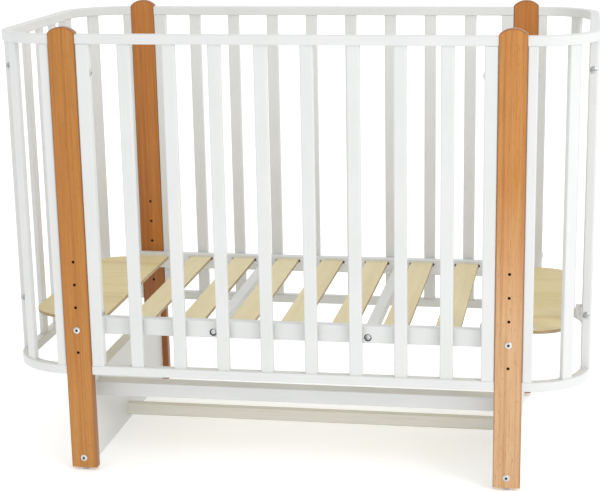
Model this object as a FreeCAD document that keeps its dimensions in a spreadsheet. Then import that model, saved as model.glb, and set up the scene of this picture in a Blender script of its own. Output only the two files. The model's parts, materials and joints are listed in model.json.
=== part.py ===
"""A wooden baby crib with rounded ends and a mattress base that bolts on at five levels.

Frame: millimetres, +Z up, +X to the right, the front towards -Y. The origin is on the floor,
under the middle of the crib. Every driving dimension is a cell of the sheet called sizes.
"""
import FreeCAD, Part

import math
import os
import re

import Sketcher

from FreeCAD import Placement, Rotation, Vector

SIZES = {
    # Legs: flat boards, joined to the rail ring on both of their long edges
    "leg_spacing": 915, "leg_width": 57, "leg_thickness": 22, "leg_inner_y": 292.5,
    "leg_length": 954, "leg_top_rise": 12, "leg_edge_radius": 3, "leg_shoulder_radius": 5,
    "glide_height": 7, "glide_radius": 7, "glide_bevel": 1,
    # Height adjustment: a column of holes in each leg
    "lowest_level": 269, "level_step": 50, "level_count": 5, "base_level": 319,
    # Ring of square rails, top and bottom, with a quarter circle at each corner
    "ring_half_length": 624, "ring_half_width": 312, "rail_size": 20, "rail_edge_radius": 2.5,
    "corner_radius": 132, "top_rail_middle": 936, "bottom_rail_middle": 229, "tenon": 8,
    # Upright slats between the two rings
    "slat_width": 27, "slat_thickness": 12, "slat_edge_radius": 3,
    "panel_slat_count": 8, "panel_slat_step": 94.2, "end_slat_count": 3, "end_slat_step": 86.75,
    "corner_slat_angle": 47.5,
    # Stiles: the uprights that carry the joint bolts
    "panel_stile_width": 27, "corner_stile_width": 20, "corner_stile_thickness": 18,
    "low_leg_joint": 355, "low_end_joint": 355, "high_joint": 867,
    # Mattress base
    "base_rail_length": 970, "base_rail_thickness": 20, "base_rail_height": 37,
    "base_rail_bottom": 306, "base_clearance": 0.5, "base_edge_radius": 2,
    "base_slat_width": 53, "ply_thickness": 8, "base_slat_count": 7, "base_slat_step": 109.7,
    "ply_bottom": 328, "ply_edge_radius": 1.2, "housing_depth": 14, "housing_spare": 0.2,
    "end_panel_start": 412, "end_panel_end": 585, "end_panel_half_width": 258,
    "end_panel_radius": 78,
    "cross_bar_x": 165, "cross_bar_width": 24, "cross_bar_height": 20,
    # Lower frame between the legs
    "board_thickness": 28, "board_height": 187, "board_bottom": 10, "foot_bolt_level": 29,
    "upper_stretcher_thickness": 38, "upper_stretcher_y": -226, "upper_stretcher_bottom": 150,
    "upper_stretcher_height": 31, "lower_stretcher_thickness": 20, "lower_stretcher_y": -15,
    "lower_stretcher_bottom": 25, "lower_stretcher_height": 28, "frame_edge_radius": 2,
    # Fasteners
    "bolt_radius": 3, "bolt_hole_radius": 3.1, "tapped_radius": 3.05, "bolt_head_radius": 7.2,
    "bolt_rim": 1, "bolt_dome": 2.5, "socket_flat": 2.5, "socket_depth": 3,
    "leg_joint_grip": 22, "foot_bolt_grip": 33, "base_bolt_grip": 17, "cross_bolt_grip": 30,
    "hole_spare": 1, "slide_gap": 0.3, "head_stub": 0.1, "insert_radius": 5,
    "sunk_head_radius": 8, "sunk_head_depth": 4, "nut_height": 3.5, "nut_bore": 2.5,
    "bracket_plate": 2, "bracket_width": 15, "bracket_reach": 13.5, "bracket_height": 28,
    "bracket_bottom": 346.5, "bracket_middle_y": 191.5, "bracket_chamfer": 4,
}
ALL_FOUR = [(side_x, side_y) for side_y in (-1, 1) for side_x in (-1, 1)]
ACROSS = {-1: "left", 1: "right"}
DEEP = {-1: "front", 1: "rear"}
UPRIGHT_BOTTOM = "bottom_rail_middle + rail_size / 2"
UPRIGHT_LENGTH = "top_rail_middle - bottom_rail_middle - rail_size"
RING_MIDDLE_Y = "ring_half_width - rail_size / 2"
LEG_MIDDLE_Y = "leg_inner_y + leg_thickness / 2"
PANEL_HALF = "leg_spacing / 2 - leg_width / 2"
CORNER_START = "leg_spacing / 2 + leg_width / 2"
CORNER_X = "ring_half_length - corner_radius"
CORNER_Y = "ring_half_width - corner_radius"
BASE_OUTER_Y = "ring_half_width - rail_size - base_clearance"

doc = FreeCAD.newDocument("crib")
sheet = doc.addObject("Spreadsheet::Sheet", "sizes")
for row, (alias, number) in enumerate(SIZES.items(), start=1):
    sheet.set(f"A{row}", str(number))
    sheet.setAlias(f"A{row}", alias)
doc.recompute()
nodes = []


# ---- Helpers -------------------------------------------------------------------------------------

def tie(text):
    """Turn a sum of dimension names into an expression on the sheet's cells."""
    return re.sub(r"[a-z_]+", lambda word: "sizes." + word.group() if word.group() in SIZES
                  else word.group(), str(text))


def value(text):
    """The number, in millimetres, that such a sum comes to."""
    return float(sheet.evalExpression(tie(text)))


def place(thing, x="0", y="0", z="0", turn=Rotation()):
    """Put a piece where three sums say, turned by a rotation."""
    thing.Placement = Placement(Vector(value(x), value(y), value(z)), turn)
    for axis, text in (("x", x), ("y", y), ("z", z)):
        thing.setExpression("Placement.Base." + axis, tie(text))


def new_body(label, x="0", y="0", z="0", turn=Rotation(), node=True):
    body = doc.addObject("PartDesign::Body", label)
    body.Label = label
    place(body, x, y, z, turn)
    if node:
        nodes.append(body)
    return body


def origin_part(body, role):
    return next(part for part in body.Origin.OriginFeatures if part.Role == role)


def sketch_on(body, role, offset="0", turn=Rotation(), x="0", y="0"):
    """A sketch parallel to one of the body's own planes, offset along that plane's normal."""
    sketch = body.newObject("Sketcher::SketchObject", body.Name + "_sketch")
    sketch.AttachmentSupport = [(origin_part(body, role), "")]
    sketch.MapMode = "FlatFace"
    sketch.AttachmentOffset = Placement(Vector(value(x), value(y), value(offset)), turn)
    for axis, text in (("x", x), ("y", y), ("z", offset)):
        sketch.setExpression("AttachmentOffset.Base." + axis, tie(text))
    return sketch


def pin(sketch, kind, *where, text):
    """Add one constraint and bind it to the sheet."""
    index = sketch.addConstraint(Sketcher.Constraint(kind, *where, value(text)))
    sketch.renameConstraint(index, f"c{index}")
    sketch.setExpression(f"Constraints.c{index}", tie(text))


def pin_point(sketch, geometry, end, x, y):
    pin(sketch, "DistanceX", -1, 1, geometry, end, text=x)
    pin(sketch, "DistanceY", -1, 1, geometry, end, text=y)


def arc_between(start, finish, radius, turn):
    """The short arc from start to finish; turn is 1 to the left and -1 to the right."""
    chord = finish - start
    rise = math.sqrt(max(radius ** 2 - chord.Length ** 2 / 4, 0))
    across = Vector(-chord.y, chord.x, 0).normalize()
    centre = start + chord * 0.5 + across * rise * turn
    first, last = (start, finish) if turn > 0 else (finish, start)
    angles = [math.atan2(point.y - centre.y, point.x - centre.x) for point in (first, last)]
    return Part.ArcOfCircle(Part.Circle(centre, Vector(0, 0, 1), radius), *angles)


def draw(sketch, corners):
    """Draw a closed outline. A corner is (x, y), or (x, y, radius, turn) where an arc leaves it."""
    points = [Vector(value(corner[0]), value(corner[1]), 0) for corner in corners]
    ends = []
    for number, corner in enumerate(corners):
        start, finish = points[number], points[(number + 1) % len(points)]
        if len(corner) == 2:
            edge = sketch.addGeometry(Part.LineSegment(start, finish), False)
            ends.append((edge, 1, 2))
        else:
            arc = arc_between(start, finish, value(corner[2]), corner[3])
            edge = sketch.addGeometry(arc, False)
            pin(sketch, "Radius", edge, text=corner[2])
            ends.append((edge, 1, 2) if corner[3] > 0 else (edge, 2, 1))
    for number, corner in enumerate(corners):
        edge, begin, _ = ends[number]
        before, _, last = ends[number - 1]
        sketch.addConstraint(Sketcher.Constraint("Coincident", before, last, edge, begin))
        pin_point(sketch, edge, begin, corner[0], corner[1])


def rounded(wide, high, radius, x="0", y="0"):
    """The corners of a rectangle about (x, y) whose four corners are rounded."""
    left, right = f"{x} - ({wide}) / 2", f"{x} + ({wide}) / 2"
    low, top = f"{y} - ({high}) / 2", f"{y} + ({high}) / 2"
    return [(f"{left} + {radius}", low), (f"{right} - {radius}", low, radius, 1),
            (right, f"{low} + {radius}"), (right, f"{top} - {radius}", radius, 1),
            (f"{right} - {radius}", top), (f"{left} + {radius}", top, radius, 1),
            (left, f"{top} - {radius}"), (left, f"{low} + {radius}", radius, 1)]


def circle(sketch, x, y, radius):
    ring = sketch.addGeometry(Part.Circle(Vector(value(x), value(y), 0), Vector(0, 0, 1),
                                          value(radius)), False)
    pin(sketch, "Radius", ring, text=radius)
    pin_point(sketch, ring, 3, x, y)


def pad(body, sketch, length, middle=False):
    feature = body.newObject("PartDesign::Pad", body.Name + "_pad")
    feature.Profile = sketch
    feature.SideType = "Symmetric" if middle else "One side"
    feature.Length = value(length)
    feature.setExpression("Length", tie(length))
    return feature


def pocket(body, sketch, depth, along_normal=False):
    """Cut a sketch into the body, against its plane's normal unless told otherwise."""
    feature = body.newObject("PartDesign::Pocket", body.Name + "_pocket")
    feature.Profile = sketch
    feature.Reversed = along_normal
    feature.Length = value(depth)
    feature.setExpression("Length", tie(depth))
    return feature


def repeat(body, feature, count, step):
    """Repeat a pad or a pocket along the body's own X axis."""
    pattern = body.newObject("PartDesign::LinearPattern", body.Name + "_pattern")
    pattern.Originals = [feature]
    pattern.Direction = (origin_part(body, "X_Axis"), [""])
    pattern.Mode = "Spacing"
    pattern.Offset = value(step)
    pattern.setExpression("Offset", tie(step))
    pattern.Occurrences = int(value(count))
    pattern.setExpression("Occurrences", tie(count))
    body.Tip = pattern
    return pattern


def drill(body, role, face, centres, radius, depth, along_normal=False):
    """Round holes into a face that is parallel to one of the body's planes."""
    sketch = sketch_on(body, role, face)
    for x, y in centres:
        circle(sketch, x, y, radius)
    return pocket(body, sketch, depth, along_normal)


def round_edges(body, radius, wanted):
    """Round those edges of the body's last feature that the test picks out."""
    doc.recompute()
    base = body.Tip
    names = [f"Edge{number}" for number, edge in enumerate(base.Shape.Edges, start=1)
             if wanted(edge)]
    feature = body.newObject("PartDesign::Fillet", body.Name + "_fillet")
    feature.Base = (base, names)
    feature.Radius = value(radius)
    feature.setExpression("Radius", tie(radius))
    return feature


def group(label, members, node=True):
    """Several solids as one node."""
    whole = doc.addObject("Part::Compound", label)
    whole.Label = label
    whole.Links = members
    if node:
        nodes.append(whole)
    return whole


def mirrored(source, normal):
    copy = doc.addObject("Part::Mirroring", source.Name + "_mirrored")
    copy.Source = source
    copy.Normal = normal
    return copy


def on_all_four(label, members):
    """A node that holds the members and their mirror images, left to right and front to back."""
    one = group(label + "_one", members, node=False)
    pair = group(label + "_pair", [one, mirrored(one, Vector(1, 0, 0))], node=False)
    return group(label, [pair, mirrored(pair, Vector(0, 1, 0))])


def is_flat(edge, axis, *levels):
    """True for an edge that lies at one of the levels along an axis."""
    spots = [getattr(edge.valueAt(mark), axis) for mark in edge.ParameterRange]
    return any(all(abs(spot - level) < 1e-4 for spot in spots) for level in levels)


# ---- Wooden frame --------------------------------------------------------------------------------

def make_leg(side_x, side_y):
    """A flat leg with a shallow arc on top and a column of holes for the mattress base."""
    leg = new_body(f"leg_{DEEP[side_y]}_{ACROSS[side_x]}", f"{side_x} * leg_spacing / 2",
                   f"{side_y} * ({LEG_MIDDLE_Y})", "glide_height",
                   Rotation(Vector(0, 0, 1), 0 if side_y > 0 else 180))
    outline = sketch_on(leg, "XZ_Plane")
    top_radius = "((leg_width / 2) ^ 2 + leg_top_rise ^ 2) / (2 * leg_top_rise)"
    draw(outline, [("-leg_width / 2", "0"), ("leg_width / 2", "0"),
                   ("leg_width / 2", "leg_length - leg_top_rise", top_radius, 1),
                   ("-leg_width / 2", "leg_length - leg_top_rise")])
    pad(leg, outline, "leg_thickness", middle=True)
    shoulder, face = value("leg_length - leg_top_rise"), value("leg_thickness / 2")
    round_edges(leg, "leg_shoulder_radius",
                lambda edge: is_flat(edge, "z", shoulder) and not is_flat(edge, "y", face, -face))
    round_edges(leg, "leg_edge_radius",
                lambda edge: is_flat(edge, "y", face, -face) and not is_flat(edge, "z", 0))
    levels = [f"lowest_level + {number} * level_step - glide_height"
              for number in range(SIZES["level_count"])]
    drill(leg, "XZ_Plane", "leg_thickness / 2",
          [("0", level) for level in levels + ["foot_bolt_level - glide_height"]],
          "bolt_hole_radius", "leg_thickness")
    off_centre = f"{RING_MIDDLE_Y} - ({LEG_MIDDLE_Y})"
    joints = [(off_centre, f"{level} - glide_height") for level in ("low_leg_joint", "high_joint")]
    for side in (-1, 1):
        drill(leg, "YZ_Plane", f"{side} * leg_width / 2", joints, "bolt_hole_radius",
              "leg_joint_grip + hole_spare", along_normal=side < 0)


def cut_mortises(rail, side, count, step, x="0", y="0", turn=Rotation()):
    """Sockets for the slats in the top (1) or the underside (-1) of a rail."""
    first = f"{x} - ({count} - 1) / 2 * {step}"
    sketch = sketch_on(rail, "XY_Plane", f"{side} * rail_size / 2", turn, first, y)
    draw(sketch, rounded("slat_width", "slat_thickness", "slat_edge_radius"))
    sockets = pocket(rail, sketch, "tenon", along_normal=side < 0)
    if count != "1":
        repeat(rail, sockets, count, step)


def make_straight_rail(label, length, count, step, x, y, z, turn, mortise_side):
    rail = new_body(label, x, y, z, turn)
    section = sketch_on(rail, "YZ_Plane")
    draw(section, rounded("rail_size", "rail_size", "rail_edge_radius"))
    pad(rail, section, length, middle=True)
    cut_mortises(rail, mortise_side, count, step)


def make_corner_rail(label, side_x, side_y, z, mortise_side):
    """A quarter circle of rail with a short straight start at the leg."""
    flipped = side_x * side_y < 0
    turn = Rotation(Vector(0, 0, 1), 0 if side_x > 0 else 180)
    if flipped:
        turn = turn.multiply(Rotation(Vector(1, 0, 0), 180))
        mortise_side = -mortise_side
    rail = new_body(label, z=z, turn=turn)
    plan = sketch_on(rail, "XY_Plane", "-rail_size / 2")
    inner_x, inner_y = "ring_half_length - rail_size", "ring_half_width - rail_size"
    draw(plan, [("ring_half_length", CORNER_Y, "corner_radius", 1), (CORNER_X, "ring_half_width"),
                (CORNER_START, "ring_half_width"), (CORNER_START, inner_y),
                (CORNER_X, inner_y, "corner_radius - rail_size", -1), (inner_x, CORNER_Y)])
    pad(rail, plan, "rail_size")
    half, start, joint = value("rail_size / 2"), value(CORNER_START), value(CORNER_Y)
    round_edges(rail, "rail_edge_radius", lambda edge: is_flat(edge, "z", half, -half)
                and not is_flat(edge, "x", start) and not is_flat(edge, "y", joint))
    reach = "(corner_radius - rail_size / 2)"
    cut_mortises(rail, mortise_side, "1", "0",
                 f"{CORNER_X} + {reach} * cos(corner_slat_angle * 1deg)",
                 f"{CORNER_Y} + {reach} * sin(corner_slat_angle * 1deg)",
                 Rotation(Vector(0, 0, 1), value("corner_slat_angle") + 90))


def make_stile(label, width, thickness, x, y, turn, joints):
    """An upright bar between the two rings, drilled through its width for the joint bolts."""
    stile = new_body(label, x, y, UPRIGHT_BOTTOM, turn)
    section = sketch_on(stile, "XY_Plane")
    draw(section, rounded(width, thickness, "rail_edge_radius"))
    pad(stile, section, UPRIGHT_LENGTH)
    drill(stile, "YZ_Plane", f"{width} / 2", [("0", f"{level} - ({UPRIGHT_BOTTOM})")
                                              for level in joints], "bolt_hole_radius", width)


def make_slats(body, count, step):
    """Slats in a row along the body's X axis, with a tenon at each end."""
    section = sketch_on(body, "XY_Plane", "-tenon", x=f"-({count} - 1) / 2 * {step}")
    draw(section, rounded("slat_width", "slat_thickness", "slat_edge_radius"))
    one = pad(body, section, f"{UPRIGHT_LENGTH} + 2 * tenon")
    if count != "1":
        repeat(body, one, count, step)


def make_side_panel(side_y):
    """Two rails, two stiles and eight slats between the legs of one long side."""
    name = DEEP[side_y]
    y = f"{side_y} * ({RING_MIDDLE_Y})"
    for level, side in (("top", -1), ("bottom", 1)):
        make_straight_rail(f"{name}_{level}_rail", f"2 * ({PANEL_HALF})", "panel_slat_count",
                           "panel_slat_step", "0", y, f"{level}_rail_middle", Rotation(), side)
    for side_x in (-1, 1):
        make_stile(f"{name}_stile_{ACROSS[side_x]}", "panel_stile_width", "rail_size",
                   f"{side_x} * ({PANEL_HALF} - panel_stile_width / 2)", y, Rotation(),
                   ("low_leg_joint", "high_joint"))
    make_slats(new_body(f"{name}_slats", "0", y, UPRIGHT_BOTTOM), "panel_slat_count",
               "panel_slat_step")


def make_corner(side_x, side_y):
    """Two curved rails, a stile at the leg, a stile at the end and one slat on the curve."""
    name = f"corner_{DEEP[side_y]}_{ACROSS[side_x]}"
    for level, side in (("top", -1), ("bottom", 1)):
        make_corner_rail(f"{name}_{level}_rail", side_x, side_y, f"{level}_rail_middle", side)
    make_stile(f"{name}_leg_stile", "corner_stile_width", "corner_stile_thickness",
               f"{side_x} * ({CORNER_START} + corner_stile_width / 2)",
               f"{side_y} * ({RING_MIDDLE_Y})", Rotation(), ("low_leg_joint", "high_joint"))
    make_stile(f"{name}_end_stile", "corner_stile_width", "corner_stile_thickness",
               f"{side_x} * (ring_half_length - rail_size + corner_stile_thickness / 2)",
               f"{side_y} * ({CORNER_Y} + corner_stile_width / 2)",
               Rotation(Vector(0, 0, 1), 90), ("low_end_joint", "high_joint"))
    reach = "(corner_radius - rail_size / 2)"
    angle = math.degrees(math.atan2(side_y * math.sin(math.radians(value("corner_slat_angle"))),
                                    side_x * math.cos(math.radians(value("corner_slat_angle")))))
    slat = new_body(f"{name}_slat",
                    f"{side_x} * ({CORNER_X} + {reach} * cos(corner_slat_angle * 1deg))",
                    f"{side_y} * ({CORNER_Y} + {reach} * sin(corner_slat_angle * 1deg))",
                    UPRIGHT_BOTTOM, Rotation(Vector(0, 0, 1), angle + 90))
    make_slats(slat, "1", "0")


def make_end(side_x):
    """Two rails between the corner sections, with two stiles and three slats."""
    name = f"{ACROSS[side_x]}_end"
    x = f"{side_x} * (ring_half_length - rail_size / 2)"
    across = Rotation(Vector(0, 0, 1), 90)
    for level, side in (("top", -1), ("bottom", 1)):
        make_straight_rail(f"{name}_{level}_rail", f"2 * ({CORNER_Y})", "end_slat_count",
                           "end_slat_step", x, "0", f"{level}_rail_middle", across, side)
    bars = new_body(f"{name}_bars", x, "0", UPRIGHT_BOTTOM, across)
    section = sketch_on(bars, "XY_Plane")
    for side in (-1, 1):
        draw(section, rounded("rail_size", "rail_size", "rail_edge_radius",
                              f"{side} * ({CORNER_Y} - rail_size / 2)"))
    pad(bars, section, UPRIGHT_LENGTH)
    off_centre = f"{side_x} * (rail_size - corner_stile_thickness) / 2"
    holes = [(off_centre, f"{level} - ({UPRIGHT_BOTTOM})")
             for level in ("low_end_joint", "high_joint")]
    for side in (-1, 1):
        drill(bars, "YZ_Plane", f"{side} * ({CORNER_Y})", holes, "bolt_hole_radius", "rail_size",
              along_normal=side < 0)
    make_slats(bars, "end_slat_count", "end_slat_step")


# ---- Mattress base -------------------------------------------------------------------------------

def make_base_rail(side_y):
    """A side rail that houses the slats in round-ended slots and each end panel in a groove."""
    rail = new_body(f"base_side_rail_{DEEP[side_y]}", "0",
                    f"{side_y} * ({BASE_OUTER_Y} - base_rail_thickness / 2)",
                    "base_rail_bottom + base_rail_height / 2",
                    Rotation(Vector(0, 0, 1), 0 if side_y > 0 else 180))
    middle = "(base_rail_bottom + base_rail_height / 2)"
    half = "base_rail_thickness / 2"
    section = sketch_on(rail, "YZ_Plane")
    draw(section, rounded("base_rail_thickness", "base_rail_height", "base_edge_radius"))
    pad(rail, section, "base_rail_length", middle=True)
    slot = sketch_on(rail, "XZ_Plane", half, x="-(base_slat_count - 1) / 2 * base_slat_step")
    draw(slot, rounded("base_slat_width + 2 * housing_spare + ply_thickness", "ply_thickness",
                       "(ply_thickness / 2 - 0.01)", "0",
                       f"ply_bottom + ply_thickness / 2 - {middle}"))
    repeat(rail, pocket(rail, slot, "housing_depth"), "base_slat_count", "base_slat_step")
    low, top = f"ply_bottom - {middle}", f"ply_bottom + ply_thickness - {middle}"
    for side in (-1, 1):
        groove = sketch_on(rail, "XZ_Plane", half)
        inner, outer = f"{side} * end_panel_start", f"{side} * (base_rail_length / 2 + 1)"
        left, right = (outer, inner) if side < 0 else (inner, outer)
        draw(groove, [(left, low), (right, low), (right, top), (left, top)])
        pocket(rail, groove, "housing_depth")
    level = f"base_level - {middle}"
    drill(rail, "XZ_Plane", half, [("-leg_spacing / 2", level), ("leg_spacing / 2", level)],
          "insert_radius", "base_rail_thickness")
    level = f"ply_bottom - cross_bar_height / 2 - {middle}"
    ends = [("-cross_bar_x", level), ("cross_bar_x", level)]
    drill(rail, "XZ_Plane", half, ends, "bolt_hole_radius", "base_rail_thickness")
    drill(rail, "XZ_Plane", f"-{half}", ends, "sunk_head_radius", "sunk_head_depth",
          along_normal=True)


def make_base_slats():
    slats = new_body("base_slats", "0", "0", "ply_bottom + ply_thickness / 2")
    section = sketch_on(slats, "XZ_Plane", x="-(base_slat_count - 1) / 2 * base_slat_step")
    draw(section, rounded("base_slat_width", "ply_thickness", "ply_edge_radius"))
    one = pad(slats, section,
              f"2 * ({BASE_OUTER_Y} - base_rail_thickness + housing_depth)", middle=True)
    repeat(slats, one, "base_slat_count", "base_slat_step")


def make_end_panel(side_x):
    """A half-moon of plywood that fills the rounded end of the base.

    Its wide part slides into the grooves of the side rails and stops level with their ends.
    """
    panel = new_body(f"base_end_panel_{ACROSS[side_x]}", z="ply_bottom",
                     turn=Rotation(Vector(0, 0, 1), 0 if side_x > 0 else 180))
    tongue = f"({BASE_OUTER_Y} - base_rail_thickness + housing_depth)"
    step_x = "base_rail_length / 2"
    bend_x = "end_panel_end - end_panel_radius"
    bend_y = "(end_panel_half_width - end_panel_radius)"
    plan = sketch_on(panel, "XY_Plane")
    draw(plan, [("end_panel_start", f"-{tongue}"), (step_x, f"-{tongue}"),
                (step_x, "-end_panel_half_width"),
                (bend_x, "-end_panel_half_width", "end_panel_radius", 1),
                ("end_panel_end", f"-{bend_y}"), ("end_panel_end", bend_y, "end_panel_radius", 1),
                (bend_x, "end_panel_half_width"), (step_x, "end_panel_half_width"),
                (step_x, tongue), ("end_panel_start", tongue)])
    pad(panel, plan, "ply_thickness")
    start = value("end_panel_start")
    levels = (0, value("ply_thickness"))
    round_edges(panel, "ply_edge_radius", lambda edge: is_flat(edge, "z", *levels)
                and not is_flat(edge, "x", start))


def make_cross_bar(side_x):
    """A bar under the slats, bolted through both side rails."""
    bar = new_body(f"base_cross_bar_{ACROSS[side_x]}", f"{side_x} * cross_bar_x", "0",
                   "ply_bottom - cross_bar_height / 2")
    section = sketch_on(bar, "XZ_Plane")
    draw(section, rounded("cross_bar_width", "cross_bar_height", "base_edge_radius"))
    half = f"({BASE_OUTER_Y} - base_rail_thickness)"
    pad(bar, section, f"2 * {half}", middle=True)
    for side in (-1, 1):
        drill(bar, "XZ_Plane", f"{side} * {half}", [("0", "0")], "bolt_hole_radius",
              "cross_bolt_grip + hole_spare", along_normal=side < 0)


# ---- Lower frame ---------------------------------------------------------------------------------

def make_end_board(side_x):
    """A board that ties the front and rear leg of one end together near the floor."""
    board = new_body(f"end_board_{ACROSS[side_x]}", f"{side_x} * leg_spacing / 2", "0",
                     "board_bottom + board_height / 2")
    section = sketch_on(board, "XZ_Plane")
    draw(section, rounded("board_thickness", "board_height", "frame_edge_radius"))
    pad(board, section, "2 * leg_inner_y", middle=True)
    level = "foot_bolt_level - board_bottom - board_height / 2"
    for side in (-1, 1):
        drill(board, "XZ_Plane", f"{side} * leg_inner_y", [("0", level)], "bolt_hole_radius",
              "foot_bolt_grip + hole_spare", along_normal=side < 0)


def make_stretcher(name):
    """A bar from end board to end board."""
    bar = new_body(f"stretcher_{name}", "0", f"{name}_stretcher_y",
                   f"{name}_stretcher_bottom + {name}_stretcher_height / 2")
    section = sketch_on(bar, "YZ_Plane")
    draw(section, rounded(f"{name}_stretcher_thickness", f"{name}_stretcher_height",
                          "frame_edge_radius"))
    pad(bar, section, "leg_spacing - board_thickness", middle=True)


# ---- Fasteners and feet --------------------------------------------------------------------------

TO_RIGHT = Rotation(Vector(0, 1, 0), 90)
TO_LEFT = Rotation(Vector(0, 1, 0), -90)
TO_REAR = Rotation(Vector(1, 0, 0), -90)
TO_FRONT = Rotation(Vector(1, 0, 0), 90)


def spin(label, outline, x, y, z, turn):
    """A turned piece: the outline goes once round its own upright axis."""
    body = new_body(label, x, y, z, turn, node=False)
    profile = sketch_on(body, "XZ_Plane")
    draw(profile, outline)
    feature = body.newObject("PartDesign::Revolution", label + "_turned")
    feature.Profile = profile
    feature.ReferenceAxis = (profile, ["V_Axis"])
    return body


def make_bolt(label, shank, x, y, z, turn):
    """A button-head bolt: its head stands on the face at its origin, its shank points down."""
    dome_radius = "((bolt_head_radius ^ 2 + bolt_dome ^ 2) / (2 * bolt_dome))"
    bolt = spin(label, [("0", f"-({shank})"), ("bolt_radius", f"-({shank})"), ("bolt_radius", "0"),
                        ("bolt_head_radius", "0"),
                        ("bolt_head_radius", "bolt_rim", dome_radius, 1),
                        ("0", "bolt_rim + bolt_dome")], x, y, z, turn)
    socket = sketch_on(bolt, "XY_Plane", "bolt_rim + bolt_dome")
    draw(socket, [(f"socket_flat * {2 / math.sqrt(3) * math.cos(math.radians(60 * corner))}",
                   f"socket_flat * {2 / math.sqrt(3) * math.sin(math.radians(60 * corner))}")
                  for corner in range(6)])
    pocket(bolt, socket, "socket_depth")
    return bolt


def make_leg_joint_bolts():
    """Bolts through the stiles into both long edges of each leg."""
    bolts = []
    for level in ("low_leg_joint", "high_joint"):
        bolts.append(make_bolt("panel_bolt", "panel_stile_width + leg_joint_grip",
                               f"{PANEL_HALF} - panel_stile_width", RING_MIDDLE_Y, level, TO_LEFT))
        bolts.append(make_bolt("corner_bolt", "corner_stile_width + leg_joint_grip",
                               f"{CORNER_START} + corner_stile_width", RING_MIDDLE_Y, level,
                               TO_RIGHT))
    on_all_four("leg_joint_bolts", bolts)


def make_end_joints():
    """Bolts and cap nuts that clamp each corner section to the end section."""
    bolts, nuts = [], []
    x = "ring_half_length - rail_size + corner_stile_thickness / 2"
    for level in ("low_end_joint", "high_joint"):
        bolts.append(make_bolt("end_bolt", "corner_stile_width + rail_size + nut_bore", x,
                               f"{CORNER_Y} + corner_stile_width", level, TO_REAR))
        outline = [("tapped_radius", "0"), ("bolt_head_radius", "0"),
                   ("bolt_head_radius", "nut_height"), ("0", "nut_height"), ("0", "nut_bore"),
                   ("tapped_radius", "nut_bore")]
        nuts.append(spin("end_nut", outline, x, f"{CORNER_Y} - rail_size", level, TO_FRONT))
    on_all_four("end_joint_bolts", bolts)
    on_all_four("end_joint_nuts", nuts)


def make_base_fasteners():
    """Level bolts with their threaded inserts, and the sunk bolts of the cross bars.

    The level bolts travel with the base from one row of holes to the next. In use they are drawn
    out for that, so the stretch of shank inside the leg is left out of them.
    """
    head = make_bolt("level_bolt", "head_stub", "leg_spacing / 2",
                     "leg_inner_y + leg_thickness + slide_gap", "base_level", TO_REAR)
    shank = spin("level_shank", [("0", "0"), ("bolt_radius", "0"),
                                 ("bolt_radius", "base_bolt_grip"), ("0", "base_bolt_grip")],
                 "leg_spacing / 2", f"{BASE_OUTER_Y} - base_bolt_grip", "base_level", TO_REAR)
    on_all_four("base_bolts", [head, shank])
    outline = [("tapped_radius", "0"), ("insert_radius", "0"),
               ("insert_radius", "base_rail_thickness"), ("tapped_radius", "base_rail_thickness")]
    insert = spin("insert", outline, "leg_spacing / 2", f"{BASE_OUTER_Y} - base_rail_thickness",
                  "base_level", TO_REAR)
    on_all_four("base_inserts", [insert])
    bolt = make_bolt("cross_bolt", "base_rail_thickness - sunk_head_depth + cross_bolt_grip",
                     "cross_bar_x", f"{BASE_OUTER_Y} - sunk_head_depth",
                     "ply_bottom - cross_bar_height / 2", TO_REAR)
    on_all_four("cross_bar_bolts", [bolt])


def make_feet():
    """Foot bolts through the legs into the end boards, and a plastic glide under each leg."""
    bolt = make_bolt("foot_bolt", "leg_thickness + foot_bolt_grip", "leg_spacing / 2",
                     "leg_inner_y + leg_thickness", "foot_bolt_level", TO_REAR)
    on_all_four("foot_bolts", [bolt])
    outline = [("0", "0"), ("glide_radius - glide_bevel", "0"), ("glide_radius", "glide_bevel"),
               ("glide_radius", "glide_height"), ("0", "glide_height")]
    glide = spin("glide", outline, "leg_spacing / 2", LEG_MIDDLE_Y, "0", Rotation())
    on_all_four("glides", [glide])


def make_brackets():
    """Two small angle plates, each with a flange on the inner face of an end stile."""
    inner_x = "(ring_half_length - rail_size)"
    brackets = []
    for side in (-1, 1):
        bracket = new_body("bracket", f"{side} * {inner_x}", f"{side} * -bracket_middle_y",
                           "bracket_bottom", Rotation(Vector(0, 0, 1), 0 if side > 0 else 180),
                           node=False)
        flange = sketch_on(bracket, "XY_Plane")
        draw(flange, [("-bracket_plate", "-bracket_width / 2"), ("0", "-bracket_width / 2"),
                      ("0", "bracket_width / 2"), ("-bracket_plate", "bracket_width / 2")])
        pad(bracket, flange, "bracket_height")
        tab = sketch_on(bracket, "XZ_Plane", "-bracket_width / 2")
        draw(tab, [("bracket_chamfer - bracket_reach", "0"), ("0", "0"), ("0", "bracket_height"),
                   ("-bracket_reach", "bracket_height"), ("-bracket_reach", "bracket_chamfer")])
        pad(bracket, tab, "bracket_plate")
        brackets.append(bracket)
    group("end_brackets", brackets)


# ---- Build, check and write ----------------------------------------------------------------------

def check(thing):
    """Stop if an object failed, or if a cut or a pattern changed nothing."""
    if {"Invalid", "Error"} & set(thing.State):
        raise RuntimeError(f"{thing.Label} failed: {thing.State}")
    if thing.TypeId == "PartDesign::Pocket":
        if thing.Shape.Volume >= thing.BaseFeature.Shape.Volume - 1:
            raise RuntimeError(f"{thing.Label} cut nothing")
    if thing.TypeId == "PartDesign::LinearPattern":
        if abs(thing.Shape.Volume - thing.BaseFeature.Shape.Volume) < 1:
            raise RuntimeError(f"{thing.Label} repeated nothing")


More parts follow.
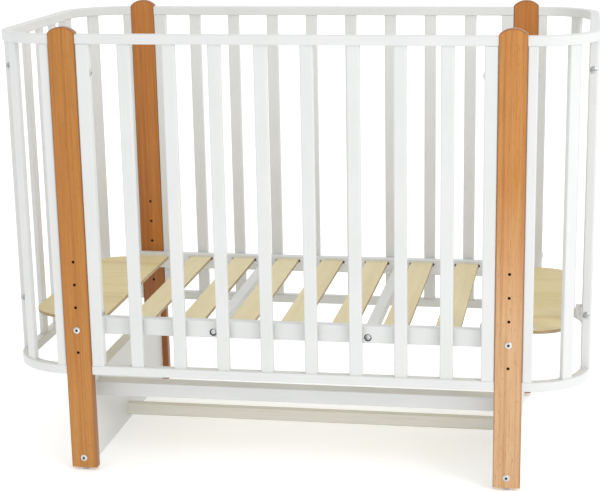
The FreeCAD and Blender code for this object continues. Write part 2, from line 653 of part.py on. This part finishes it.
def main():
    for side_x, side_y in ALL_FOUR:
        make_leg(side_x, side_y)
        make_corner(side_x, side_y)
    for side in (-1, 1):
        make_side_panel(side)
        make_end(side)
        make_base_rail(side)
        make_end_panel(side)
        make_cross_bar(side)
        make_end_board(side)
    make_base_slats()
    make_stretcher("upper")
    make_stretcher("lower")
    make_leg_joint_bolts()
    make_end_joints()
    make_base_fasteners()
    make_feet()
    make_brackets()
    doc.recompute()
    for thing in doc.Objects:
        check(thing)
    os.makedirs("parts", exist_ok=True)
    for node in nodes:
        if node.Shape.isNull() or not node.Shape.isValid():
            raise RuntimeError(f"{node.Label} is not a valid shape")
        node.Shape.exportStep(f"parts/{node.Label}.step")
        size = node.Shape.BoundBox
        print(f"{node.Label}: {len(node.Shape.Solids)} solids, {node.Shape.Volume:.0f} mm3, "
              f"X {size.XMin:.1f}..{size.XMax:.1f} Y {size.YMin:.1f}..{size.YMax:.1f} "
              f"Z {size.ZMin:.1f}..{size.ZMax:.1f}")
    print(len(nodes), "nodes")


main()
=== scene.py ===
"""The looks of the baby crib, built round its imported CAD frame. Metres, +Z up, front towards -Y."""

import json
import math

import bpy
from mathutils import Matrix, Vector

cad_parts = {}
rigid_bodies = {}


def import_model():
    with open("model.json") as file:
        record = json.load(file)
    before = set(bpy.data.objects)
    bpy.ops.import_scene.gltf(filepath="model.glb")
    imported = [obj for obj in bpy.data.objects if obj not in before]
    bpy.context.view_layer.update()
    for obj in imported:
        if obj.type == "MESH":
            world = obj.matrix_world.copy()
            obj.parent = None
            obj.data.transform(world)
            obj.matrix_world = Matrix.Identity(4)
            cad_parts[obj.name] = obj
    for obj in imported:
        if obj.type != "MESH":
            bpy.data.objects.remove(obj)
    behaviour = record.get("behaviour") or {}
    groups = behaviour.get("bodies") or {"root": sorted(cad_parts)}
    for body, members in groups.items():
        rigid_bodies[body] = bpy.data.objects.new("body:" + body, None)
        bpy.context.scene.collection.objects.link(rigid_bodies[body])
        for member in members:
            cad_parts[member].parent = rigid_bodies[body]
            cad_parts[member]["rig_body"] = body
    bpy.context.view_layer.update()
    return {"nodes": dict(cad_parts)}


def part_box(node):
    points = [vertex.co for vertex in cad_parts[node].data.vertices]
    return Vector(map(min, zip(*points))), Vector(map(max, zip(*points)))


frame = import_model()
nodes = frame["nodes"]

MM = 0.001

# Places on the crib that its materials follow
LEG_RISE = 12 * MM                     # of the arched top of a leg over its shoulders
LEVEL_HEIGHTS = [(269 + 50 * step) * MM for step in range(5)]
BASE_LEVEL_HEIGHT = LEVEL_HEIGHTS[1]   # the row of holes that the base hangs in at rest
FOOT_BOLT_HEIGHT = 29 * MM
PLY_VENEERS = 5

# Radii round a bolt's axis between which a dark mark of painted shade fades out
HOLE_FADE = (3.0 * MM, 3.6 * MM)
SOCKET_SHADE_FADE = (2.5 * MM, 3.0 * MM)
SUNK_RING_SHADE_FADE = (7.9 * MM, 8.2 * MM)

# Distances from the outline of a leg between which its painted shade along the edges fades in
LEG_SIDE_SHADE_FADE = (3.2 * MM, 0.2 * MM)
LEG_TOP_SHADE_FADE = (3.4 * MM, 0.4 * MM)

ZINC, ZINC_WORN = (0.70, 0.71, 0.72), (0.55, 0.56, 0.57)
# The end joint bolts' zinc is rougher and darker; the darker colour is painted shade.
DULL_ZINC_SHADED, DULL_ZINC_SHADED_WORN = (0.55, 0.56, 0.57), (0.36, 0.37, 0.38)
STEEL, STEEL_WORN = (0.66, 0.66, 0.65), (0.52, 0.52, 0.51)
BRASS, BRASS_WORN = (0.74, 0.56, 0.27), (0.60, 0.43, 0.19)
GLIDE_GREY, GLIDE_SHADE = (0.46, 0.46, 0.45), (0.40, 0.40, 0.39)


# ---- Camera, floor and light ---------------------------------------------------------------------

CAMERA_PLACE = Vector((0.598, -3.381, 1.286))
CAMERA_YAW = 0.1647
CAMERA_PITCH = -0.2613
CAMERA_ROLL = -0.014
CAMERA_LENS = 94.0
CAMERA_SHIFT = (-0.048, 0.051)

KEY_PLACE = (3.0, -2.2, 2.6)
KEY_TARGET = (0, 0, 0.5)
KEY_SIZE = 1.8
KEY_POWER = 42
SURROUND_STRENGTH = 1.0
FLOOR_SIZE = 24
FLOOR_GLOW = 0.24


def make_camera():
    """The camera stands in front of the right end, looking a little down and to the left."""
    data = bpy.data.cameras.new("camera")
    data.lens = CAMERA_LENS
    data.shift_x, data.shift_y = CAMERA_SHIFT
    forward = Vector((-math.sin(CAMERA_YAW) * math.cos(CAMERA_PITCH),
                      math.cos(CAMERA_YAW) * math.cos(CAMERA_PITCH), math.sin(CAMERA_PITCH)))
    level = Vector((math.cos(CAMERA_YAW), math.sin(CAMERA_YAW), 0))
    upright = level.cross(forward)
    right = math.cos(CAMERA_ROLL) * level + math.sin(CAMERA_ROLL) * upright
    up = math.cos(CAMERA_ROLL) * upright - math.sin(CAMERA_ROLL) * level
    camera = bpy.data.objects.new("camera", data)
    bpy.context.scene.collection.objects.link(camera)
    turn = Matrix((right, up, -forward)).transposed().to_4x4()
    camera.matrix_world = Matrix.Translation(CAMERA_PLACE) @ turn
    bpy.context.scene.camera = camera


def make_key_light():
    """One softbox, high up to the front right."""
    data = bpy.data.lights.new("key", "AREA")
    data.shape = "SQUARE"
    data.size = KEY_SIZE
    data.energy = KEY_POWER
    light = bpy.data.objects.new("key", data)
    bpy.context.scene.collection.objects.link(light)
    light.location = KEY_PLACE
    aim = Vector(KEY_TARGET) - Vector(KEY_PLACE)
    light.rotation_euler = aim.to_track_quat("-Z", "Y").to_euler()


def make_surround():
    """An even white surround."""
    world = bpy.data.worlds.new("surround")
    world.use_nodes = True
    background = world.node_tree.nodes["Background"]
    background.inputs["Color"].default_value = (1, 1, 1, 1)
    background.inputs["Strength"].default_value = SURROUND_STRENGTH
    bpy.context.scene.world = world
    bpy.context.scene.view_settings.view_transform = "Standard"


def make_floor():
    """A wide pale floor that glows a little, so that it runs into the surround."""
    bpy.ops.mesh.primitive_grid_add(x_subdivisions=2, y_subdivisions=2, size=FLOOR_SIZE)
    floor = bpy.context.object
    floor.name = "floor"
    material, tree, shader = new_material("floor_card")
    tone = noise(tree, 3, 4)
    link(tree, ramp(tree, tone, [(0.3, (0.93, 0.935, 0.94)), (0.7, (0.95, 0.955, 0.96))]),
         shader, "Base Color")
    shader.inputs["Roughness"].default_value = 0.7
    shader.inputs["Emission Color"].default_value = (1, 1, 1, 1)
    shader.inputs["Emission Strength"].default_value = FLOOR_GLOW
    floor.data.materials.append(material)


# ---- Material helpers ----------------------------------------------------------------------------

MIX_FACTOR, MIX_FIRST, MIX_SECOND = 0, 6, 7      # inputs of a Mix node that are in use for colours
MIX_RESULT = 2                                   # and its output


def new_material(name):
    material = bpy.data.materials.new(name)
    material.use_nodes = True
    tree = material.node_tree
    return material, tree, tree.nodes["Principled BSDF"]


def link(tree, source, target, socket):
    """Join one node's first output, or a given output socket, to an input."""
    output = source if isinstance(source, bpy.types.NodeSocket) else source.outputs[0]
    tree.links.new(output, target.inputs[socket])


def noise(tree, scale, detail, roughness=0.55, distortion=0.0, stretch=(1, 1, 1)):
    """Noise over the crib's own metres, multiplied by a factor along each axis."""
    source = tree.nodes.new("ShaderNodeTexCoord")
    mapping = tree.nodes.new("ShaderNodeMapping")
    mapping.inputs["Scale"].default_value = stretch
    link(tree, source.outputs["Object"], mapping, "Vector")
    texture = tree.nodes.new("ShaderNodeTexNoise")
    texture.inputs["Scale"].default_value = scale
    texture.inputs["Detail"].default_value = detail
    texture.inputs["Roughness"].default_value = roughness
    texture.inputs["Distortion"].default_value = distortion
    link(tree, mapping, texture, "Vector")
    return texture


def long_noise(tree, axis, coarse, fine, detail, roughness=0.55, distortion=0.0):
    """Noise with one scale along an axis and another one across it."""
    stretch = tuple(coarse if name == axis else fine for name in "xyz")
    return noise(tree, 1.0, detail, roughness, distortion, stretch)


def ramp(tree, source, stops):
    """Colours at places from 0 to 1; a stop is (place, (r, g, b))."""
    chart = tree.nodes.new("ShaderNodeValToRGB")
    while len(chart.color_ramp.elements) < len(stops):
        chart.color_ramp.elements.new(0.5)
    for element, (place, colour) in zip(chart.color_ramp.elements, stops):
        element.position = place
        element.color = (*colour, 1)
    link(tree, source, chart, "Fac")
    return chart


def grey(tree, source, low, high, bottom=0.0, top=1.0):
    """Remap a value from low..high to bottom..top."""
    spread = tree.nodes.new("ShaderNodeMapRange")
    for socket, number in (("From Min", low), ("From Max", high), ("To Min", bottom),
                           ("To Max", top)):
        spread.inputs[socket].default_value = number
    link(tree, source, spread, "Value")
    return spread


def mix(tree, first, second, factor, kind="MIX"):
    """Mix two colours; the factor and either colour may be a plain value."""
    blend = tree.nodes.new("ShaderNodeMix")
    blend.data_type = "RGBA"
    blend.blend_type = kind
    for socket, source in ((MIX_FACTOR, factor), (MIX_FIRST, first), (MIX_SECOND, second)):
        if isinstance(source, (int, float)):
            blend.inputs[socket].default_value = source
        elif isinstance(source, tuple):
            blend.inputs[socket].default_value = (*source, 1)
        else:
            link(tree, source, blend, socket)
    return blend.outputs[MIX_RESULT]


def maths(tree, operation, *values):
    """One step of arithmetic; each value is a number or a node."""
    step = tree.nodes.new("ShaderNodeMath")
    step.operation = operation
    for number, value in enumerate(values):
        if isinstance(value, (int, float)):
            step.inputs[number].default_value = value
        else:
            link(tree, value, step, number)
    return step


def times(tree, first, second):
    return maths(tree, "MULTIPLY", first, second)


def split(tree, kind="Object"):
    """X, Y and Z of the point in the crib's metres, or of its normal, as three outputs."""
    source = tree.nodes.new("ShaderNodeTexCoord")
    parts = tree.nodes.new("ShaderNodeSeparateXYZ")
    link(tree, source.outputs[kind], parts, "Vector")
    return parts.outputs


def beside(tree, x, centre):
    """How far out a point is from an upright plane that is repeated left and right."""
    return maths(tree, "SUBTRACT", maths(tree, "ABSOLUTE", x), centre)


def round_bolts(tree, point, centre, heights, fade):
    """1 within a radius of any bolt axis that runs front to back, fading to 0 at a larger one."""
    x, _, z = point
    across = beside(tree, x, centre)
    nearest = None
    for height in heights:
        above = maths(tree, "SUBTRACT", z, height)
        squares = maths(tree, "ADD", times(tree, across, across), times(tree, above, above))
        reach = maths(tree, "SQRT", squares)
        nearest = maths(tree, "MINIMUM", nearest, reach) if nearest else reach
    return grey(tree, nearest, *fade, 1, 0)


def bump(tree, shader, layers):
    """Stack height maps; a layer is (height source, distance in metres, strength)."""
    last = None
    for height, distance, strength in layers:
        step = tree.nodes.new("ShaderNodeBump")
        step.inputs["Distance"].default_value = distance
        step.inputs["Strength"].default_value = strength
        link(tree, height, step, "Height")
        if last:
            link(tree, last, step, "Normal")
        last = step
    link(tree, last, shader, "Normal")


# ---- Materials -----------------------------------------------------------------------------------

def paint_leg_light_and_shade(tree, colour, point):
    """Painted light and shade on the legs: the front right leg paler low down, the front left one
    darker, the rear ones darker and redder, most of all below the base.
    """
    x, y, z = point
    in_front = grey(tree, y, 0.0, -0.1)
    front_right = times(tree, grey(tree, x, -0.2, 0.45), in_front)
    # Painted light: the front right leg grows paler towards its foot, where the light falls on it.
    painted_light = times(tree, grey(tree, z, 0.66, 0.34, 0.05, 0.82), front_right)
    colour = mix(tree, colour, (0.64, 0.41, 0.23), painted_light)
    front_left = times(tree, grey(tree, x, 0.1, -0.3), in_front)
    # Painted shade: the front left leg, turned from the light, is darker and more golden.
    left_shade = ramp(tree, z, [(0.15, (0.44, 0.195, 0.040)), (0.55, (0.40, 0.145, 0.008)),
                            (0.90, (0.40, 0.165, 0.022))])
    colour = mix(tree, colour, left_shade, times(tree, front_left, 0.5))
    # Painted shade: the rear legs, behind the crib, are darker and redder.
    rear_shade = grey(tree, y, 0.0, 0.1, 0, 0.45)
    colour = mix(tree, colour, (0.40, 0.115, 0.014), rear_shade)
    # Deeper painted shade on the rear legs below the base.
    shaded = times(tree, rear_shade, grey(tree, z, 0.36, 0.31, 0, 1.2))
    return mix(tree, colour, (0.20, 0.050, 0.008), shaded)


def leg_outline_shade(tree, point, centre, half_width, top):
    """Mask for painted shade: 1 along the side edges and the arch of a leg, fading to 0 on its faces.
    """
    x, _, z = point
    across = maths(tree, "ABSOLUTE", beside(tree, x, centre))
    side = grey(tree, across, *(half_width - distance for distance in LEG_SIDE_SHADE_FADE))
    crown = times(tree, times(tree, across, across), LEG_RISE / half_width ** 2)
    arch = grey(tree, maths(tree, "ADD", z, crown), *(top - distance for distance in LEG_TOP_SHADE_FADE))
    return maths(tree, "MAXIMUM", side, arch)


def make_beech(leg_centre, leg_half_width, leg_top):
    """Varnished beech: warm grain up the leg, painted light and shade on each leg, and painted shade
    making the rounded edges darker and the drilled holes dark.
    """
    material, tree, shader = new_material("varnished_beech")
    point = split(tree)
    figure = long_noise(tree, "z", 1.3, 26, 5, 0.6, 0.6)
    fibres = long_noise(tree, "z", 9, 420, 3, 0.6)
    flecks = long_noise(tree, "z", 80, 800, 1, 0.4)
    patches = long_noise(tree, "z", 3, 9, 2)
    streaks = long_noise(tree, "z", 1.1, 170, 2, 0.5, 0.2)
    colour = ramp(tree, figure, [(0.25, (0.39, 0.146, 0.022)), (0.45, (0.49, 0.200, 0.034)),
                                 (0.60, (0.55, 0.240, 0.048)), (0.80, (0.45, 0.176, 0.029))])
    colour = mix(tree, colour, (0.58, 0.295, 0.080), grey(tree, patches, 0.45, 0.75, 0, 0.35))
    colour = paint_leg_light_and_shade(tree, colour, point)
    colour = mix(tree, colour, (0.74, 0.62, 0.50), grey(tree, fibres, 0.42, 0.72, 0, 0.65),
                 "MULTIPLY")
    colour = mix(tree, colour, (0.76, 0.64, 0.52), grey(tree, streaks, 0.47, 0.68, 0, 0.60),
                 "MULTIPLY")
    colour = mix(tree, colour, (0.20, 0.066, 0.014), grey(tree, flecks, 0.66, 0.74, 0, 0.45))
    edge_shade = leg_outline_shade(tree, point, leg_centre, leg_half_width, leg_top)
    # Painted shade where the rounded edges turn away from the light.
    colour = mix(tree, colour, (0.22, 0.070, 0.014), times(tree, edge_shade, 0.72))
    hole = round_bolts(tree, point, leg_centre, LEVEL_HEIGHTS + [FOOT_BOLT_HEIGHT], HOLE_FADE)
    # Painted shade: near black inside the drilled holes.
    colour = mix(tree, colour, (0.030, 0.012, 0.005), times(tree, hole, 0.92))
    link(tree, colour, shader, "Base Color")
    link(tree, grey(tree, hole, 0, 1, 0.2, 0), shader, "Coat Weight")
    polish = grey(tree, fibres, 0.3, 0.7, 0.34, 0.46)
    link(tree, maths(tree, "MAXIMUM", polish, hole), shader, "Roughness")
    shader.inputs["Coat Roughness"].default_value = 0.25
    shader.inputs["Specular IOR Level"].default_value = 0.35
    bump(tree, shader, [(fibres, 0.12 * MM, 0.5), (flecks, 0.15 * MM, 0.35)])
    return material


def make_white_paint(name, axis, sunk_at=None):
    """Satin white paint over wood, with the grain just showing through along one axis.

    A rail with sunk bolts gets painted shade, near black, in the rings round their heads; sunk_at is
    their distance from the middle of the crib and their height.
    """
    material, tree, shader = new_material(name)
    grain = long_noise(tree, axis, 6, 260, 4, 0.6, 0.3)
    stipple = noise(tree, 900, 2)
    patches = noise(tree, 7, 3)
    colour = ramp(tree, patches, [(0.3, (0.655, 0.667, 0.657)), (0.7, (0.690, 0.698, 0.691))])
    colour = mix(tree, colour, (0.610, 0.616, 0.590), grey(tree, grain, 0.52, 0.78, 0, 0.35))
    if sunk_at:
        centre, height = sunk_at
        ring_shade = round_bolts(tree, split(tree), centre, [height], SUNK_RING_SHADE_FADE)
        # Painted shade in the counterbore gap round each sunk bolt head.
        colour = mix(tree, colour, (0.035, 0.040, 0.036), ring_shade)
    link(tree, colour, shader, "Base Color")
    link(tree, grey(tree, patches, 0.3, 0.7, 0.36, 0.48), shader, "Roughness")
    shader.inputs["Specular IOR Level"].default_value = 0.45
    bump(tree, shader, [(grain, 0.10 * MM, 0.35), (stipple, 0.04 * MM, 0.3)])
    return material


def make_plywood(name, axis, bottom, thickness, paleness):
    """Bare birch plywood: broad pale figure on the face, stacked veneers on the edge."""
    material, tree, shader = new_material(name)
    bands = long_noise(tree, axis, 1.2, 14, 3, 0.5, 0.7)
    fibres = long_noise(tree, axis, 14, 420, 3, 0.6)
    flecks = long_noise(tree, axis, 120, 700, 1, 0.4)
    colour = ramp(tree, bands, [(0.28, (0.64, 0.520, 0.265)), (0.44, (0.70, 0.590, 0.318)),
                                (0.58, (0.74, 0.640, 0.366)), (0.76, (0.67, 0.555, 0.290))])
    colour = mix(tree, colour, (0.48, 0.36, 0.20), grey(tree, fibres, 0.5, 0.75, 0, 0.25))
    colour = mix(tree, colour, (0.36, 0.24, 0.11), grey(tree, flecks, 0.69, 0.76, 0, 0.35))
    colour = mix(tree, colour, (0.76, 0.70, 0.50), paleness)
    height = maths(tree, "DIVIDE", maths(tree, "SUBTRACT", split(tree)[2], bottom), thickness)
    veneers = maths(tree, "SINE", times(tree, height, PLY_VENEERS * math.pi))
    edge_colour = ramp(tree, maths(tree, "ABSOLUTE", veneers),
                       [(0.0, (0.17, 0.095, 0.04)), (0.18, (0.29, 0.185, 0.085)),
                        (0.5, (0.42, 0.31, 0.175)), (1.0, (0.48, 0.37, 0.22))])
    upward = maths(tree, "ABSOLUTE", split(tree, "Normal")[2])
    on_edge = grey(tree, upward, 0.75, 0.35)
    link(tree, mix(tree, colour, edge_colour, on_edge), shader, "Base Color")
    link(tree, grey(tree, fibres, 0.3, 0.7, 0.55, 0.70), shader, "Roughness")
    bump(tree, shader, [(fibres, 0.15 * MM, 0.5), (flecks, 0.12 * MM, 0.3)])
    return material


def make_bare_wood(name, axis):
    """Pale unfinished softwood with straight grain."""
    material, tree, shader = new_material(name)
    rings = long_noise(tree, axis, 0.9, 60, 4, 0.6, 0.5)
    fibres = long_noise(tree, axis, 12, 650, 3, 0.6)
    colour = ramp(tree, rings, [(0.3, (0.70, 0.675, 0.60)), (0.5, (0.75, 0.735, 0.67)),
                                (0.7, (0.67, 0.64, 0.56))])
    colour = mix(tree, colour, (0.45, 0.37, 0.26), grey(tree, fibres, 0.5, 0.78, 0, 0.3))
    link(tree, colour, shader, "Base Color")
    link(tree, grey(tree, fibres, 0.3, 0.7, 0.6, 0.75), shader, "Roughness")
    bump(tree, shader, [(fibres, 0.15 * MM, 0.5)])
    return material


def make_metal(name, colour, worn, roughness):
    """Plated metal with fine scratches and a slightly uneven tone."""
    material, tree, shader = new_material(name)
    scratches = long_noise(tree, "z", 2500, 400, 4, 0.7)
    tone = noise(tree, 220, 3)
    link(tree, ramp(tree, tone, [(0.35, worn), (0.6, colour)]), shader, "Base Color")
    shader.inputs["Metallic"].default_value = 1.0
    link(tree, grey(tree, scratches, 0.3, 0.7, roughness - 0.07, roughness + 0.08), shader,
         "Roughness")
    bump(tree, shader, [(scratches, 0.02 * MM, 0.4)])
    return material


def make_zinc(name):
    return make_metal(name, ZINC, ZINC_WORN, 0.30)


def make_socket_zinc(name, centre, height):
    """Zinc-plated bolt heads in the legs, with painted shade, near black, in the hexagon sockets."""
    material = make_zinc(name)
    tree = material.node_tree
    shader = tree.nodes["Principled BSDF"]
    plain = shader.inputs["Base Color"].links[0].from_socket
    socket = round_bolts(tree, split(tree), centre, [height], SOCKET_SHADE_FADE)
    # Painted shade in the hexagon recess of each head.
    link(tree, mix(tree, plain, (0.03, 0.028, 0.025), socket), shader, "Base Color")
    return material


def make_plastic(name, colour, shade):
    """Moulded plastic with a fine spark-eroded grain."""
    material, tree, shader = new_material(name)
    grain = noise(tree, 1800, 2)
    tone = noise(tree, 60, 2)
    link(tree, ramp(tree, tone, [(0.3, shade), (0.7, colour)]), shader, "Base Color")
    link(tree, grey(tree, grain, 0.3, 0.7, 0.45, 0.6), shader, "Roughness")
    bump(tree, shader, [(grain, 0.05 * MM, 0.5)])
    return material


# ---- Dressing the crib ---------------------------------------------------------------------------

UPRIGHT = ("slat", "slats", "stile", "stile_left", "stile_right", "bars")   # ends of names


def dress(names, material):
    """Give CAD nodes a material in place of the one they have."""
    for name in names:
        for slot in nodes[name].material_slots:
            slot.material = material


def grain_axis(name):
    """The axis that a piece is longest along, which its grain follows."""
    low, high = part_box(name)
    size = high - low
    return "xyz"[max(range(3), key=lambda number: size[number])]


def paint_white():
    """Paint every piece; the ones that are not white get their own material afterwards."""
    paints = {axis: make_white_paint("white_paint_" + axis, axis) for axis in "xyz"}
    for name, piece in nodes.items():
        if piece["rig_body"]:
            axis = "z" if name.endswith(UPRIGHT) else grain_axis(name)
            dress([name], paints[axis])
    bolts_low, bolts_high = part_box("cross_bar_bolts")
    bar_low, bar_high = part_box("base_cross_bar_right")
    sunk_at = ((bar_low.x + bar_high.x) / 2, (bolts_low.z + bolts_high.z) / 2)
    dress(["base_side_rail_front", "base_side_rail_rear"],
          make_white_paint("white_paint_sunk", "x", sunk_at))


def dress_wood(leg_centre, leg_half_width, leg_top):
    legs = [name for name in nodes if name.startswith("leg_") and name != "leg_joint_bolts"]
    dress(legs, make_beech(leg_centre, leg_half_width, leg_top))
    ply_low, ply_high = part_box("base_slats")
    thickness = ply_high.z - ply_low.z
    dress(["base_slats"], make_plywood("slat_plywood", "y", ply_low.z, thickness, 0.35))
    dress(["base_end_panel_left", "base_end_panel_right"],
          make_plywood("panel_plywood", "x", ply_low.z, thickness, 0.0))
    dress(["stretcher_lower"], make_bare_wood("bare_softwood", "x"))


def dress_fasteners(leg_centre):
    dress(["cross_bar_bolts", "leg_joint_bolts"], make_zinc("zinc_plate"))
    # The end joint bolts and nuts get zinc darkened as painted shade.
    dress(["end_joint_bolts", "end_joint_nuts"],
          make_metal("dull_zinc_shaded", DULL_ZINC_SHADED, DULL_ZINC_SHADED_WORN, 0.36))
    dress(["base_bolts"], make_socket_zinc("level_bolt_zinc", leg_centre, BASE_LEVEL_HEIGHT))
    dress(["foot_bolts"], make_socket_zinc("foot_bolt_zinc", leg_centre, FOOT_BOLT_HEIGHT))
    dress(["end_brackets"], make_metal("bracket_plate", STEEL, STEEL_WORN, 0.42))
    dress(["base_inserts"], make_metal("brass_insert", BRASS, BRASS_WORN, 0.35))
    dress(["glides"], make_plastic("glide_plastic", GLIDE_GREY, GLIDE_SHADE))


def dress_crib():
    low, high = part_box("leg_front_right")
    leg_centre = (low.x + high.x) / 2
    paint_white()
    dress_wood(leg_centre, (high.x - low.x) / 2, high.z)
    dress_fasteners(leg_centre)


make_camera()
make_key_light()
make_surround()
make_floor()
dress_crib()
